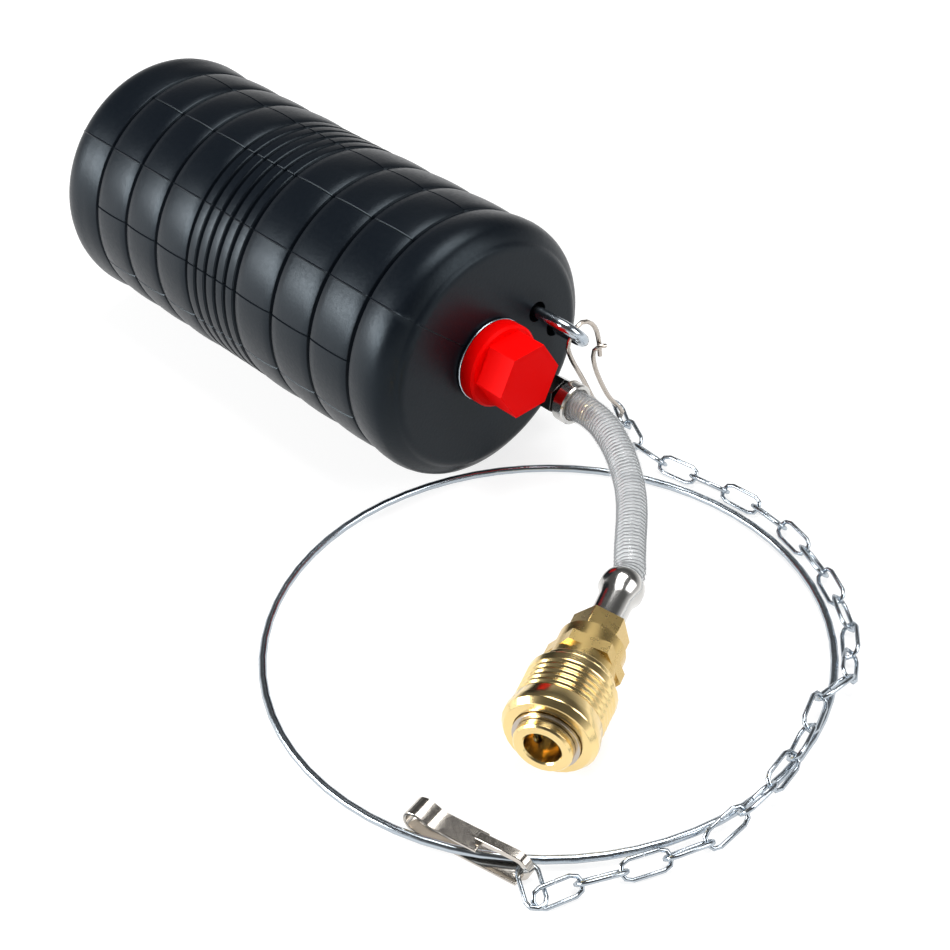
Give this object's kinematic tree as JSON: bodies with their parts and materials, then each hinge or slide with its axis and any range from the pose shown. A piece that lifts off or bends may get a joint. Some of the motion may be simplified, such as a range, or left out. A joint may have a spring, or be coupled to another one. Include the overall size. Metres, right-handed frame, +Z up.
{
  "type": "inflatable pipe plug",
  "caption": "Inflatable rubber pipe plug with a capped bypass, on its side with air hose, brass quick coupler, safety chain, strip hook and steel hoop.",
  "frame": {"origin": "middle of the footprint of everything that does not hang on the hose, on the floor", "axes": "+X along the rubber body towards its capped front face, +Z up from the floor"},
  "size_m": [0.3582, 0.1896, 0.09],
  "materials": {
    "rubber": "satin moulded",
    "aluminium": "turned",
    "zinc": "bright zinc plated",
    "cap_red": "smooth",
    "seal": "matte",
    "dark_chrome": "dark bright",
    "brass": "turned, bright",
    "chrome": "bright",
    "spring_steel": "drawn wire",
    "hose": "clear",
    "nickel": "nickel plated"
  },
  "bodies": {
    "plug": {"rubber_body": "rubber", "front_end_plate": "aluminium", "rear_end_plate": "aluminium", "bypass_tube": "aluminium", "bypass_flange": "zinc", "rear_washer": "zinc", "rear_lock_nut": "zinc", "towing_eye": "zinc", "inflation_nipple": "dark_chrome", "top_barb": "brass", "top_ferrule": "chrome", "bottom_ferrule": "chrome", "hose_tail": "brass", "coupler_nut": "brass", "coupler_body": "brass", "locking_ball_1": "zinc", "locking_ball_2": "zinc", "locking_ball_3": "zinc", "locking_ball_4": "zinc", "sleeve_spring": "spring_steel", "snap_ring": "spring_steel", "valve_spring": "spring_steel", "hose": "hose", "snap_hook": "nickel", "hoop": "zinc", "chain_link_01": "zinc", "chain_link_02": "zinc", "chain_link_03": "zinc", "chain_link_04": "zinc", "chain_link_05": "zinc", "chain_link_06": "zinc", "chain_link_07": "zinc", "chain_link_08": "zinc", "chain_link_09": "zinc", "chain_link_10": "zinc", "chain_link_11": "zinc", "chain_link_12": "zinc", "chain_link_13": "zinc", "chain_link_14": "zinc", "chain_link_15": "zinc", "chain_link_16": "zinc", "chain_link_17": "zinc", "chain_link_18": "zinc", "chain_link_19": "zinc", "chain_link_20": "zinc", "chain_link_21": "zinc", "chain_link_22": "zinc", "chain_link_23": "zinc", "chain_link_24": "zinc", "wire_clip": "spring_steel"},
    "cap": {"red_cap": "cap_red", "cap_seal": "seal"},
    "sleeve": {"coupler_sleeve": "brass"},
    "valve": {"valve_poppet": "dark_chrome", "valve_seal": "seal"}
  },
  "joints": [
    {"name": "cap_slide", "type": "slide", "parent": "plug", "child": "cap", "axis": [1, 0, 0], "range_m": [0, 0.016]},
    {"name": "sleeve_slide", "type": "slide", "parent": "plug", "child": "sleeve", "axis": [-0.4261, 0.9043, 0.025], "range_m": [0, 0.0034], "stiffness_N_per_m": 1500},
    {"name": "valve_slide", "type": "slide", "parent": "plug", "child": "valve", "axis": [-0.4261, 0.9043, 0.025], "range_m": [0, 0.0038], "stiffness_N_per_m": 400}
  ]
}
